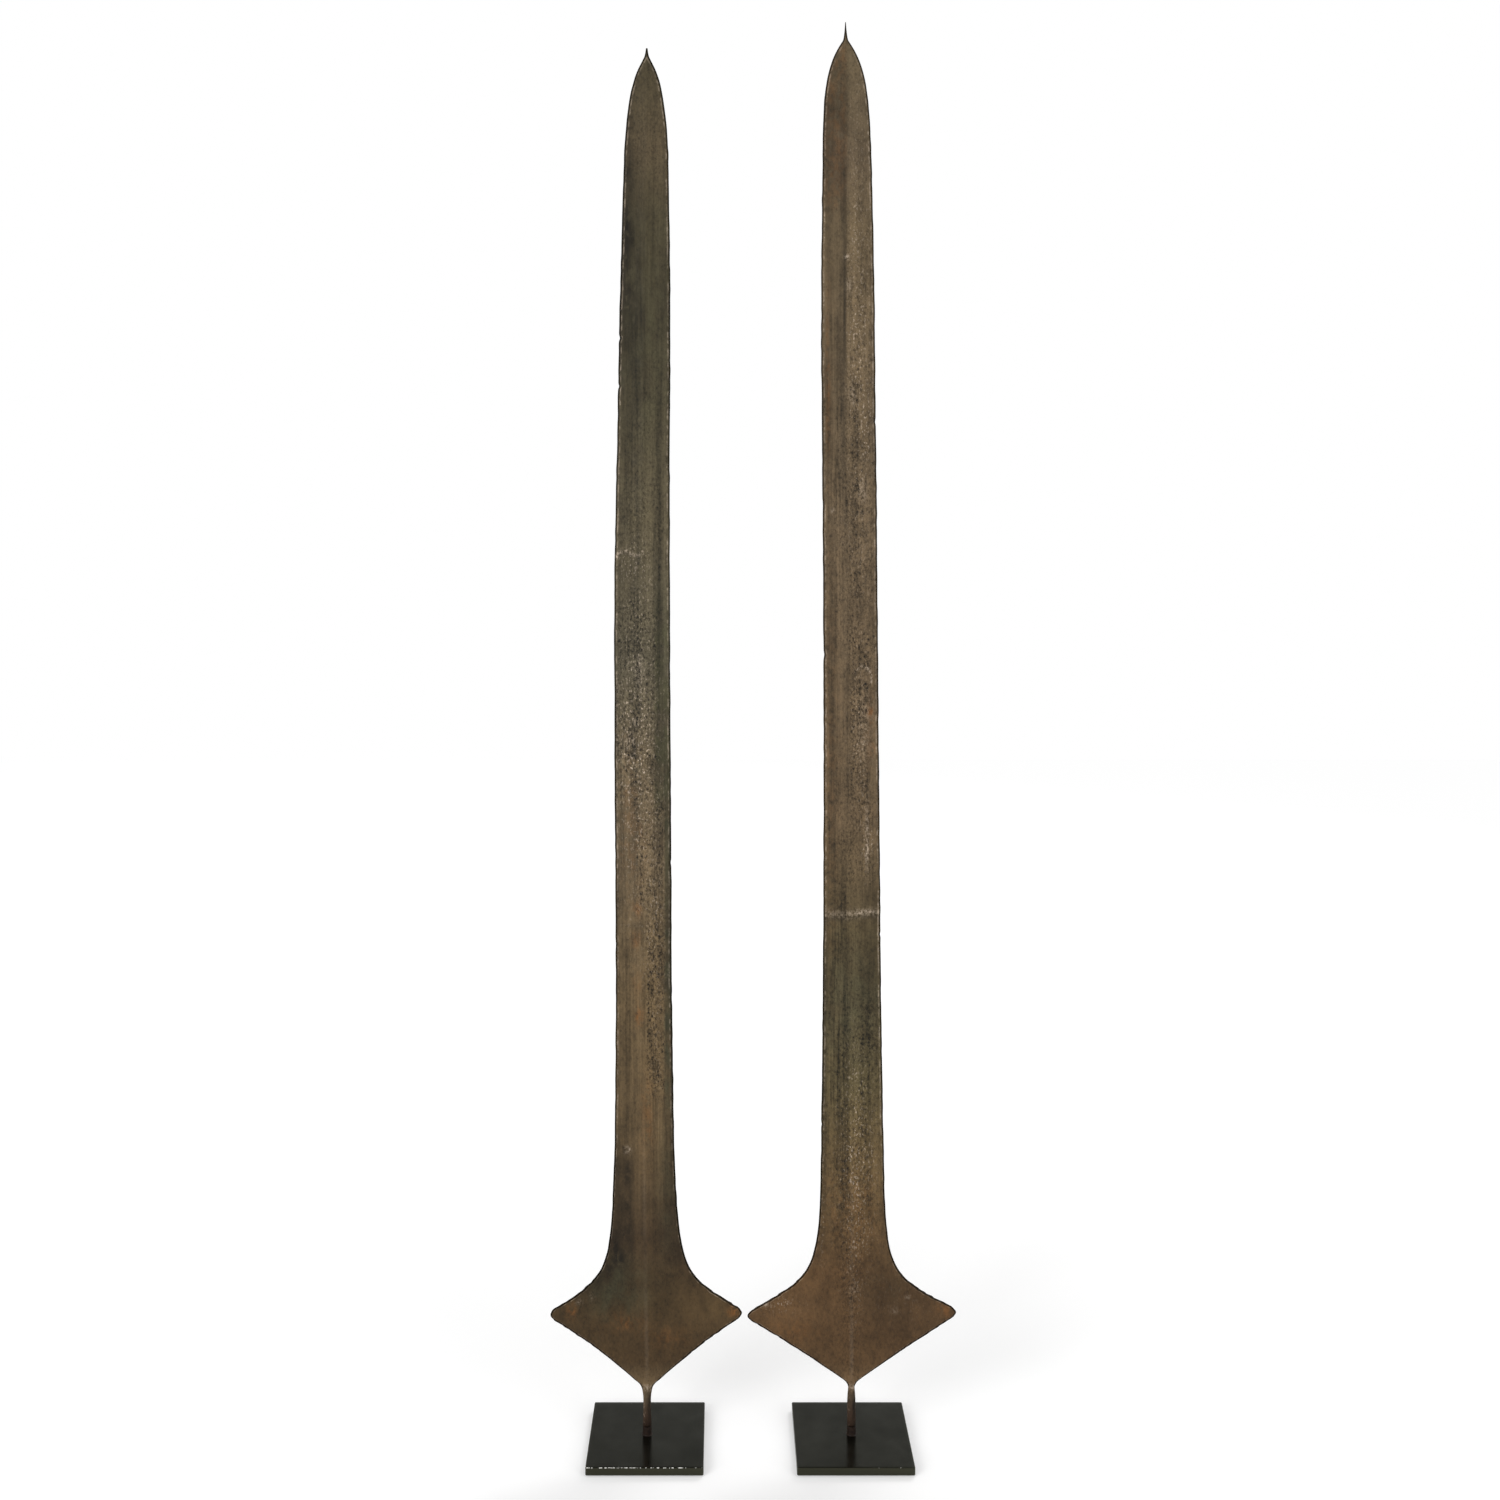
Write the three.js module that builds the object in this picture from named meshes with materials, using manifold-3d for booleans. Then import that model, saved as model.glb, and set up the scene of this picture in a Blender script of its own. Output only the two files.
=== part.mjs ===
// A pair of forged iron spear blades, once used as money, each standing on its own steel base.
// Millimetres. +Z is up, -Y is the front, and the origin is on the table under the middle of the pair.
import * as THREE from 'three';
import { mergeVertices } from 'three/addons/utils/BufferGeometryUtils.js';
import Module from 'manifold-3d';

// The two stands, set so that the ears of the two blades stand this far apart
const pairGap = 6.5;
const plateSide = 140;
const plateThickness = 9.5;
const plateCornerRadius = 2;
const plateEdgeBevel = 0.8;
const padDiameter = 16;
const padThickness = 1.5;
const padInset = 16;

// The socket that holds the foot of a blade
const socketDiameter = 10.8;
const socketWall = 1;
const socketRise = 10;
const socketSeatDepth = 7.5;
const socketChamfer = 0.5;

// The clearance of every fit
const fitGap = 0.3;

// The forging, as both blades share it
const tangDepth = 8.4;
const tangEdgeThickness = 6.4;
const neckThickness = 7.6;
const earRibThickness = 7;
const waistRibThickness = 6.6;
const bladeRibThickness = 6;
const shoulderRibThickness = 4.6;
const nibRibThickness = 3.2;
const nibPointThickness = 1.2;
const webThickness = 2.8;
const landThickness = 2.4;
const cuttingEdgeThickness = 1;
const ribHalfWidth = 15;
const edgeBevelWidth = 3.5;

// The outlines, from the socket's rim up: each run is a height, each width goes right across
const leftSpear = {
  name: 'left',
  tangWidth: 10.8,
  tangRun: 31.5,
  tangWaistWidth: 9.3,
  neckRun: 12.5,
  neckWidth: 12.1,
  filletRun: 11.5,
  filletWidth: 29.6,
  earRun: 81.3,
  earSpan: 244,
  earTipRounding: 9,
  earTipRun: 7.8,
  earTilt: 2.4,
  earUndercut: 9,
  flareRun: 203,
  flareCornerRun: 50,
  flareCornerWidth: 85.5,
  bladeRun: 1223,
  bladeWidths: [73.2, 69.3, 68.8, 68.6, 68, 64.6, 61.6, 54.1],
  shoulderRun: 112,
  shoulderLowerHandle: [22, 25],
  shoulderUpperHandle: [11, 14.5],
  nibWidth: 8.4,
  nibRun: 13,
  nibPointWidth: 2,
  bow: [0, -2.8, -3.7, -4.6, -5.8, -6, -3.6, -1.7, -0.5],
};
const rightSpear = {
  name: 'right',
  tangWidth: 10.4,
  tangRun: 30,
  tangWaistWidth: 10.2,
  neckRun: 17.5,
  neckWidth: 7.8,
  filletRun: 8.5,
  filletWidth: 19,
  earRun: 80.4,
  earSpan: 269,
  earTipRounding: 13,
  earTipRun: 8.5,
  earTilt: 4.9,
  earUndercut: 3.5,
  flareRun: 203.5,
  flareCornerRun: 52,
  flareCornerWidth: 82.5,
  bladeRun: 1223,
  bladeWidths: [77, 72.2, 69.3, 67.4, 66.8, 66.4, 65.5, 59.8],
  shoulderRun: 134,
  shoulderLowerHandle: [28, 50],
  shoulderUpperHandle: [21.8, 26.6],
  nibWidth: 7.2,
  nibRun: 23,
  nibPointWidth: 0.9,
  bow: [0, 1.3, 0.9, 0.4, -0.4, -1.7, -3.7, -5, -7.1],
};

// How finely curves are stepped
const roundSegments = 40;
const filletSteps = 3;
const undersideSteps = 5;
const earTipSteps = 6;
const flareSteps = 14;
const stepsPerWidth = 3;
const shoulderSteps = 8;
const nibSteps = 3;

// Colours
const agedIron = new THREE.Color('#5b4c3b');
const blackPaint = new THREE.Color('#2c2c27');
const darkSteel = new THREE.Color('#2a2620');
const greyFelt = new THREE.Color('#3a3a3a');

const wasm = await Module();
wasm.setup();

// Turns a closed geometry into a solid that can be cut.
function solidOf(geometry) {
  const bare = geometry.clone();
  bare.deleteAttribute('normal');
  bare.deleteAttribute('uv');
  const merged = mergeVertices(bare);
  const mesh = new wasm.Mesh({
    numProp: 3,
    vertProperties: new Float32Array(merged.attributes.position.array),
    triVerts: new Uint32Array(merged.index.array),
  });
  return new wasm.Manifold(mesh);
}

// Takes one closed geometry out of another.
function cutFrom(geometry, cutter) {
  const { vertProperties, triVerts } = solidOf(geometry).subtract(solidOf(cutter)).getMesh();
  const cut = new THREE.BufferGeometry();
  cut.setAttribute('position', new THREE.BufferAttribute(vertProperties, 3));
  cut.setIndex(new THREE.BufferAttribute(triVerts, 1));
  return cut;
}

// A square outline with rounded corners, about the origin.
function roundedSquare(side, radius) {
  const half = side / 2;
  const corner = half - radius;
  const outline = new THREE.Shape();
  outline.moveTo(-corner, -half);
  outline.lineTo(corner, -half);
  outline.absarc(corner, -corner, radius, -Math.PI / 2, 0);
  outline.lineTo(half, corner);
  outline.absarc(corner, corner, radius, 0, Math.PI / 2);
  outline.lineTo(-corner, half);
  outline.absarc(-corner, corner, radius, Math.PI / 2, Math.PI);
  outline.lineTo(-half, -corner);
  outline.absarc(-corner, -corner, radius, Math.PI, 1.5 * Math.PI);
  return outline;
}

// An upright round bar that stands on z = 0.
function roundBar(diameter, height) {
  const outline = new THREE.Shape().absarc(0, 0, diameter / 2, 0, 2 * Math.PI);
  return new THREE.ExtrudeGeometry(outline, {
    depth: height,
    bevelEnabled: false,
    curveSegments: roundSegments / 2,
  });
}

function material(color, roughness, metalness) {
  return new THREE.MeshStandardMaterial({ color, roughness, metalness });
}

// The square plate: its edges are eased, and a blind hole in the middle seats the socket.
// Its top face is at z = 0.
function plateGeometry() {
  const blank = new THREE.ExtrudeGeometry(roundedSquare(plateSide, plateCornerRadius), {
    depth: plateThickness - 2 * plateEdgeBevel,
    bevelThickness: plateEdgeBevel,
    bevelSize: plateEdgeBevel,
    bevelOffset: -plateEdgeBevel,
    bevelSegments: 2,
    curveSegments: 4,
  });
  blank.translate(0, 0, plateEdgeBevel - plateThickness);
  const hole = roundBar(socketDiameter + 2 * fitGap, 2 * socketSeatDepth);
  hole.translate(0, 0, -socketSeatDepth);
  return cutFrom(blank, hole);
}

// The socket tube: turned outside, with a square bore as wide as the wall at its corners allows.
const socketLength = socketRise + socketSeatDepth;
const boreSide = (socketDiameter - 2 * socketWall) / Math.SQRT2;

function socketGeometry() {
  const radius = socketDiameter / 2;
  const profile = [
    new THREE.Vector2(0, 0),
    new THREE.Vector2(radius, 0),
    new THREE.Vector2(radius, socketLength - socketChamfer),
    new THREE.Vector2(radius - socketChamfer, socketLength),
    new THREE.Vector2(0, socketLength),
  ];
  const tube = new THREE.LatheGeometry(profile, roundSegments);
  tube.rotateX(Math.PI / 2);
  const bore = new THREE.BoxGeometry(boreSide, boreSide, 2 * socketLength);
  bore.translate(0, 0, socketLength / 2);
  return cutFrom(tube, bore);
}

// The heights of a spear's landmarks above its plate, each stacked on the one below.
function landmarks(spear) {
  const foot = fitGap - socketSeatDepth;
  const rim = socketRise + fitGap;
  const tangWaist = rim + spear.tangRun;
  const neck = tangWaist + spear.neckRun;
  const fillet = neck + spear.filletRun;
  const ear = fillet + spear.earRun;
  const waist = ear + spear.flareRun;
  const shoulder = waist + spear.bladeRun;
  const nib = shoulder + spear.shoulderRun;
  const point = nib + spear.nibRun;
  return { foot, rim, tangWaist, neck, fillet, ear, waist, shoulder, nib, point };
}

// One edge of the blade from the socket's rim to the point, as half widths and heights.
function edgeLine(spear, at) {
  const point = (width, height) => new THREE.Vector2(width / 2, height);
  const neck = point(spear.neckWidth, at.neck);
  const filletCorner = point(spear.neckWidth + 2, at.neck + 0.6 * spear.filletRun);
  const fillet = point(spear.filletWidth, at.fillet);
  const earTipWidth = spear.earSpan - 2 * spear.earTipRounding;
  const earBelow = point(earTipWidth, at.ear - spear.earTipRun);
  const earTip = point(spear.earSpan, at.ear);
  const earAbove = point(earTipWidth, at.ear + spear.earTipRun);
  const undersideMiddle = fillet.clone().lerp(earBelow, 0.5);
  undersideMiddle.x -= spear.earUndercut;
  const flareCorner = point(spear.flareCornerWidth, at.ear + spear.flareCornerRun);
  const lastWidth = spear.bladeWidths.length - 1;
  const blade = spear.bladeWidths.map((width, i) => {
    return point(width, at.waist + (spear.bladeRun * i) / lastWidth);
  });
  const nib = point(spear.nibWidth, at.nib);
  const [lowerHalf, lowerDrop] = spear.shoulderLowerHandle;
  const [upperHalf, upperDrop] = spear.shoulderUpperHandle;
  const curves = [
    [new THREE.SplineCurve([
      point(spear.tangWidth, at.rim),
      point(spear.tangWaistWidth, at.tangWaist),
      neck,
    ]), filletSteps + 1],
    [new THREE.QuadraticBezierCurve(neck, filletCorner, fillet), filletSteps],
    [new THREE.QuadraticBezierCurve(fillet, undersideMiddle, earBelow), undersideSteps],
    [new THREE.QuadraticBezierCurve(earBelow, earTip, earAbove), earTipSteps],
    [new THREE.CubicBezierCurve(earAbove, flareCorner, flareCorner, blade[0]), flareSteps],
    [new THREE.SplineCurve(blade), stepsPerWidth * lastWidth],
    [new THREE.CubicBezierCurve(
      blade[lastWidth],
      new THREE.Vector2(lowerHalf, at.nib - lowerDrop),
      new THREE.Vector2(upperHalf, at.nib - upperDrop),
      nib,
    ), shoulderSteps],
    [new THREE.QuadraticBezierCurve(
      nib,
      point(spear.nibWidth / 2, at.nib + spear.nibWidth / 3),
      point(spear.nibPointWidth, at.point),
    ), nibSteps],
  ];
  return curves.flatMap(([curve, steps], i) => curve.getPoints(steps).slice(i > 0 ? 1 : 0));
}

// The thicknesses of the forging at one height: at the rib, in the web beside it, at the land where
// the edge's bevel starts, and at the edge itself.
function thicknessesAt(height, at) {
  const even = (rib) => ({
    rib,
    web: Math.min(rib, webThickness),
    land: Math.min(rib, landThickness),
    edge: Math.min(rib, cuttingEdgeThickness),
  });
  const tang = { rib: tangDepth, web: tangDepth, land: tangDepth, edge: tangEdgeThickness };
  const neck = { rib: neckThickness, web: neckThickness, land: neckThickness, edge: neckThickness / 2 };
  const levels = [
    [at.rim, tang],
    [at.tangWaist, tang],
    [at.neck, neck],
    [(at.neck + at.ear) / 2, even(earRibThickness)],
    [at.ear, even(earRibThickness)],
    [at.waist, even(waistRibThickness)],
    [(at.waist + at.shoulder) / 2, even(bladeRibThickness)],
    [at.shoulder, even(shoulderRibThickness)],
    [at.nib, even(nibRibThickness)],
    [at.point, even(nibPointThickness)],
  ];
  const above = Math.max(1, levels.findIndex(([level]) => level >= height));
  const [lowLevel, low] = levels[above - 1];
  const [highLevel, high] = levels[above];
  const share = THREE.MathUtils.clamp((height - lowLevel) / (highLevel - lowLevel), 0, 1);
  const mix = (key) => THREE.MathUtils.lerp(low[key], high[key], share);
  return { rib: mix('rib'), web: mix('web'), land: mix('land'), edge: mix('edge') };
}

// One ring of the blade's skin: the front from left to right, then the back from right to left.
function bladeRing(halfWidth, height, thickness, bevel, shift, tilt) {
  const land = halfWidth - Math.min(bevel, halfWidth / 4);
  const web = Math.min(ribHalfWidth, land / 2);
  const half = [
    [halfWidth, thickness.edge / 2],
    [land, thickness.land / 2],
    [web, thickness.web / 2],
  ];
  const across = [
    ...half.map(([x, y]) => [-x, y]),
    [0, thickness.rib / 2],
    ...half.toReversed(),
  ];
  const front = across.map(([x, y]) => [x + shift, -y, height + tilt * x]);
  const back = across.map(([x, y]) => [x + shift, y, height + tilt * x]).reverse();
  return [...front, ...back];
}

// The whole blade, from the squared foot in its socket to the point, as rings joined by a skin.
function bladeGeometry(spear) {
  const at = landmarks(spear);
  const edge = edgeLine(spear, at);
  const bow = new THREE.SplineCurve(spear.bow.map((offset, i) => new THREE.Vector2(i, offset)));
  const footSide = boreSide - 2 * fitGap;
  const foot = { rib: footSide, web: footSide, land: footSide, edge: footSide };
  const rings = [
    bladeRing(footSide / 2, at.foot, foot, edgeBevelWidth, 0, 0),
    bladeRing(footSide / 2, at.rim, foot, edgeBevelWidth, 0, 0),
  ];
  edge.forEach(({ x: halfWidth, y: height }, i) => {
    const before = edge[Math.max(i - 1, 0)];
    const after = edge[Math.min(i + 1, edge.length - 1)];
    const stretch = before.distanceTo(after) / (after.y - before.y);
    const share = THREE.MathUtils.clamp((height - at.neck) / (at.point - at.neck), 0, 1);
    const tilt = (spear.earTilt / spear.earSpan) * (2 * halfWidth / spear.earSpan);
    rings.push(bladeRing(
      halfWidth,
      height,
      thicknessesAt(height, at),
      edgeBevelWidth * stretch,
      bow.getPoint(share).y,
      height > at.neck ? tilt : 0,
    ));
  });
  const count = rings[0].length;
  const last = (rings.length - 1) * count;
  const faces = [];
  for (let ring = 0; ring < rings.length - 1; ring += 1) {
    for (let j = 0; j < count; j += 1) {
      const a = ring * count + j;
      const b = ring * count + ((j + 1) % count);
      faces.push(a, b, b + count, a, b + count, a + count);
    }
  }
  for (let j = 0; j < count / 2 - 1; j += 1) {
    const opposite = count - 1 - j;
    faces.push(j, opposite, opposite - 1, j, opposite - 1, j + 1);
    faces.push(last + j, last + j + 1, last + opposite - 1);
    faces.push(last + j, last + opposite - 1, last + opposite);
  }
  const skin = new THREE.BufferGeometry();
  skin.setAttribute('position', new THREE.Float32BufferAttribute(rings.flat(2), 3));
  skin.setIndex(faces);
  return skin;
}

// One stand with its spear. The group's origin is in the middle of the plate's top face.
function stand(spear) {
  const group = new THREE.Group();
  const add = (part, geometry, finish, x, y, z) => {
    const mesh = new THREE.Mesh(geometry, finish);
    mesh.name = `${spear.name}_${part}`;
    mesh.position.set(x, y, z);
    group.add(mesh);
  };
  add('blade', bladeGeometry(spear), material(agedIron, 0.6, 0.7), 0, 0, 0);
  add('socket', socketGeometry(), material(darkSteel, 0.5, 0.6), 0, 0, -socketSeatDepth);
  add('plate', plateGeometry(), material(blackPaint, 0.4, 0.3), 0, 0, 0);
  const padCentre = plateSide / 2 - padInset;
  for (const [end, y] of [['front', -padCentre], ['back', padCentre]]) {
    for (const [side, x] of [['left', -padCentre], ['right', padCentre]]) {
      const felt = material(greyFelt, 0.95, 0);
      const top = -plateThickness - padThickness;
      add(`pad_${end}_${side}`, roundBar(padDiameter, padThickness), felt, x, y, top);
    }
  }
  return group;
}

// The stands side by side on the table, with the pair's own middle over the origin.
const pair = new THREE.Group();
let pairWidth = 0;
for (const spear of [leftSpear, rightSpear]) {
  const one = stand(spear);
  const reach = new THREE.Box3().setFromObject(one);
  const gap = pair.children.length > 0 ? pairGap : 0;
  one.position.set(pairWidth + gap - reach.min.x, 0, padThickness + plateThickness);
  pairWidth += gap + reach.max.x - reach.min.x;
  pair.add(one);
}
pair.position.x = -pairWidth / 2;

export default pair;
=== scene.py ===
import math

import bpy
import numpy as np
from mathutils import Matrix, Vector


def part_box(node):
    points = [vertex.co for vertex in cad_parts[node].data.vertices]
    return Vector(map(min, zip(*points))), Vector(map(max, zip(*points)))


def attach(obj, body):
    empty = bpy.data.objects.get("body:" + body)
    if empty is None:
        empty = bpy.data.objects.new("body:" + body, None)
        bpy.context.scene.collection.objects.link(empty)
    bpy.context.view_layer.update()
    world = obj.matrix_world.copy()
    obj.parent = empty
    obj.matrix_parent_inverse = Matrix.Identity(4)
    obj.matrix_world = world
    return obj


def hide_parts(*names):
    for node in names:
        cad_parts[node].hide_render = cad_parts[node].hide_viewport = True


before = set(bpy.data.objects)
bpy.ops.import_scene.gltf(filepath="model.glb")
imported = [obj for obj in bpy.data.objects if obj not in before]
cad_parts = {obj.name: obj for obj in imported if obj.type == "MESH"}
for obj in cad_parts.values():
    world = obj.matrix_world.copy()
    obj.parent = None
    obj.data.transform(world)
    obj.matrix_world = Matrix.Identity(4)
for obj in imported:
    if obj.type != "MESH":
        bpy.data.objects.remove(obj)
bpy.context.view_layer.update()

# Felt dots
# Eight self-adhesive discs of pressed grey felt, one under each corner of each plate. Each is a punched
# disc whose rim has softened under the weight that stands on it.
MM = 0.001
SIDES = ("left", "right")
FELT_GREY = "#3b3b39"
FELT_LINT = "#5a5955"
FELT_TUFT = 0.35 * MM
FELT_STEPS = 48
FELT_RIM_STEPS = 9


def to_linear(hex_colour):
    """An sRGB hex colour as linear red, green and blue, each undone by sRGB's own curve, and full alpha."""
    channels = [int(hex_colour[i : i + 2], 16) / 255 for i in (1, 3, 5)]
    linear = [c / 12.92 if c <= 0.04045 else ((c + 0.055) / 1.055) ** 2.4 for c in channels]
    return (*linear, 1.0)


def node(tree, kind, inputs=(), stops=(), **settings):
    """Adds one node: settings are its own properties, and inputs set or link its sockets by name or number.

    The stops of a ramp are pairs of a place from 0 to 1 and a hex colour or a grey level."""
    added = tree.nodes.new(kind)
    for name, value in settings.items():
        setattr(added, name, value)
    for i, (at, value) in enumerate(stops):
        elements = added.color_ramp.elements
        if i == 0:
            elements.remove(elements[1])
        element = elements.new(at) if i else elements[0]
        element.position = at
        element.color = to_linear(value) if isinstance(value, str) else (value, value, value, 1)
    for name, value in dict(inputs).items():
        if isinstance(value, bpy.types.NodeSocket):
            tree.links.new(value, added.inputs[name])
        else:
            added.inputs[name].default_value = value
    return added


def start_material(name, **sockets):
    """A new material with its Principled shader's own sockets set, and the tree and shader to build on."""
    made = bpy.data.materials.new(name)
    made.use_nodes = True
    shader = made.node_tree.nodes["Principled BSDF"]
    for socket, value in sockets.items():
        shader.inputs[socket.replace("_", " ")].default_value = value
    return made, made.node_tree, shader


def closed_skin(name, rings, material):
    """Joins level rings of points, in metres, into one closed smooth mesh.

    Point j of ring i makes a four-sided face with point j + 1 and with the same two points of ring i + 1,
    and the first and last rings are closed by a fan to their own middle."""
    count, around, _ = rings.shape
    points = np.concatenate([rings.reshape(-1, 3), rings[:1].mean(1), rings[-1:].mean(1)])
    ring, step = np.meshgrid(np.arange(count - 1), np.arange(around), indexing="ij")
    after = (step + 1) % around
    low, high = ring * around, (ring + 1) * around
    quads = np.stack([low + step, low + after, high + after, high + step], -1).reshape(-1, 4)
    here = np.arange(around)
    ahead = (here + 1) % around
    first = np.full(around, count * around)
    last = (count - 1) * around
    start_fan = np.stack([first, ahead, here], -1)
    end_fan = np.stack([first + 1, last + here, last + ahead], -1)
    mesh = bpy.data.meshes.new(name)
    mesh.from_pydata(points, [], quads.tolist() + start_fan.tolist() + end_fan.tolist())
    mesh.polygons.foreach_set("use_smooth", np.ones(len(mesh.polygons), bool))
    mesh.materials.append(material)
    made = bpy.data.objects.new(name, mesh)
    bpy.context.scene.collection.objects.link(made)
    return made


def circle(radius, height, steps, centre):
    """A level ring: centre plus the radius times the cosine and sine of evenly spaced angles."""
    angle = np.linspace(0, 2 * np.pi, steps, endpoint=False)
    x = centre[0] + radius * np.cos(angle)
    y = centre[1] + radius * np.sin(angle)
    return np.stack([x, y, np.full(steps, height)], -1)


# Pressed wool felt: matt dark grey with a faint sheen. Its fibres are a tenth as thick as the tufts drawn
# here, which are as coarse as they need to be to show.
felt, tree, shader = start_material("pressed_felt", Roughness=0.95, Sheen_Weight=0.4, Sheen_Roughness=0.5)
place = node(tree, "ShaderNodeTexCoord").outputs["Object"]
fibre = node(
    tree, "ShaderNodeTexNoise", {"Vector": place, "Scale": 1 / FELT_TUFT, "Detail": 4, "Distortion": 2.5}
).outputs["Fac"]
lint = node(tree, "ShaderNodeValToRGB", {"Fac": fibre}, [(0.35, FELT_GREY), (0.75, FELT_LINT)])
tree.links.new(lint.outputs["Color"], shader.inputs["Base Color"])
tuft = node(tree, "ShaderNodeBump", {"Height": fibre, "Strength": 0.6, "Distance": 0.2 * MM})
tree.links.new(tuft.outputs["Normal"], shader.inputs["Normal"])

for side in SIDES:
    for corner in ("front_left", "front_right", "back_left", "back_right"):
        dot = f"{side}_pad_{corner}"
        low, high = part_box(dot)
        centre = (low + high) / 2
        radius = (high.x - low.x) / 2
        soft = (high.z - low.z) / 2
        rim = np.linspace(-np.pi / 2, np.pi / 2, FELT_RIM_STEPS)
        reach = np.concatenate([[radius / 3], radius - soft + soft * np.cos(rim), [radius / 3]])
        level = np.concatenate([[low.z], centre.z + soft * np.sin(rim), [high.z]])
        disc = closed_skin(
            f"{dot}_felt",
            np.stack([circle(r, z, FELT_STEPS, centre) for r, z in zip(reach, level)]),
            felt,
        )
        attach(disc, "stands")
        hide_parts(dot)

# Base plates
# Two squares of 9.5 mm hot-rolled steel plate with edges rounded off by file, drilled part way in the
# middle for the socket, and sprayed satin black. The paint has rubbed through here and there along the
# edges, where a near-white painted highlight stands for the glint of the rounded edge, most along the
# front.
PLATE_CORNER = 2 * MM
PLATE_EDGE = 0.9 * MM
HOLE_FIT = 0.3 * MM
HOLE_DEPTH = 7.5 * MM
HOLE_EASE = 0.1 * MM
UNDERSIDE_MIDDLE = 4 * MM
SIDE_STEPS = 40
CORNER_STEPS = 8
EDGE_STEPS = 7
UNDERSIDE_RINGS = 8
TOP_RINGS = 20
PAINT_BLACK = "#030302"
PAINT_DUST = "#090907"
PAINT_MIRROR = "#ffffd6"
BARE_STEEL_GLINT = "#f2f0ea"
ORANGE_PEEL = 1.8 * MM
DUST_PATCH = 25 * MM
RUBBED_SPOT = 5 * MM
RUBBED_REACH = 1.2 * MM
FRONT_BAND = 3 * MM
# The share of rubbed paint and painted highlight on the front edges, and on all the other edges.
FRONT_WEAR_AND_GLINT = {"left": 1.0, "right": 0.8}
OTHER_WEAR_AND_GLINT = 0.76
SHARP_ANGLE = math.radians(40)


def square_ring(half, inset, height, centre):
    """A level ring round a square with arcs for corners, all of it drawn in by the inset."""
    flat = half - PLATE_CORNER
    radius = PLATE_CORNER - inset
    straight = np.linspace(-flat, flat, SIDE_STEPS, endpoint=False)
    turn = np.linspace(0, np.pi / 2, CORNER_STEPS, endpoint=False)
    side_line = np.stack([np.full(SIDE_STEPS, flat + radius), straight], -1)
    bend = flat + radius * np.stack([np.cos(turn), np.sin(turn)], -1)
    quarters = [np.concatenate([side_line, bend])]
    for _ in range(3):
        quarters.append(np.stack([-quarters[-1][:, 1], quarters[-1][:, 0]], -1))
    ring = np.concatenate(quarters)
    return np.column_stack([ring + np.array(centre[:2]), np.full(len(ring), height)])


def drawn_in(ring, radius, height, centre):
    """The ring's points moved straight towards the centre until they lie on a circle."""
    away = ring[:, :2] - np.array(centre[:2])
    away = away / np.linalg.norm(away, axis=1, keepdims=True)
    return np.column_stack([np.array(centre[:2]) + radius * away, np.full(len(ring), height)])


# Satin enamel over steel: a thin glossy film with a slight orange peel, which mirrors what stands on it in
# a faintly yellow tone.
paint, tree, shader = start_material(
    "satin_black_enamel", IOR=1.5, Specular_Tint=to_linear(PAINT_MIRROR)
)
place = node(tree, "ShaderNodeTexCoord").outputs["Object"]
dust = node(
    tree, "ShaderNodeTexNoise", {"Vector": place, "Scale": 1 / DUST_PATCH, "Detail": 5}
).outputs["Fac"]
peel = node(
    tree, "ShaderNodeTexNoise", {"Vector": place, "Scale": 1 / ORANGE_PEEL, "Detail": 2}
).outputs["Fac"]
spots = node(
    tree, "ShaderNodeTexNoise", {"Vector": place, "Scale": 1 / RUBBED_SPOT, "Detail": 4, "Roughness": 0.6}
).outputs["Fac"]
coat = node(tree, "ShaderNodeValToRGB", {"Fac": dust}, [(0.35, PAINT_BLACK), (0.75, PAINT_DUST)])
# Painted highlight: where the paint is rubbed through, a near-white colour stands for the glint of the
# edge.
edge_wear_and_glint = node(tree, "ShaderNodeAttribute", attribute_name="edge_wear_and_glint").outputs["Fac"]
worn_and_lit = node(tree, "ShaderNodeMath", {0: edge_wear_and_glint, 1: spots}, operation="MULTIPLY").outputs[0]
bare_glint = node(tree, "ShaderNodeValToRGB", {"Fac": worn_and_lit}, [(0.45, 0.0), (0.475, 1.0)]).outputs["Color"]
# The two colours of a Mix node are its sockets 6 and 7.
mix = {"Factor": bare_glint, 6: coat.outputs["Color"], 7: to_linear(BARE_STEEL_GLINT)}
colour = node(tree, "ShaderNodeMix", mix, data_type="RGBA")
tree.links.new(colour.outputs[2], shader.inputs["Base Color"])
gloss = {"Value": dust, "From Min": 0.3, "From Max": 0.7, "To Min": 0.16, "To Max": 0.22}
gloss = node(tree, "ShaderNodeMapRange", gloss)
tree.links.new(gloss.outputs["Result"], shader.inputs["Roughness"])
film = node(tree, "ShaderNodeBump", {"Height": peel, "Strength": 0.15, "Distance": 0.05 * MM})
tree.links.new(film.outputs["Normal"], shader.inputs["Normal"])

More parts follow.
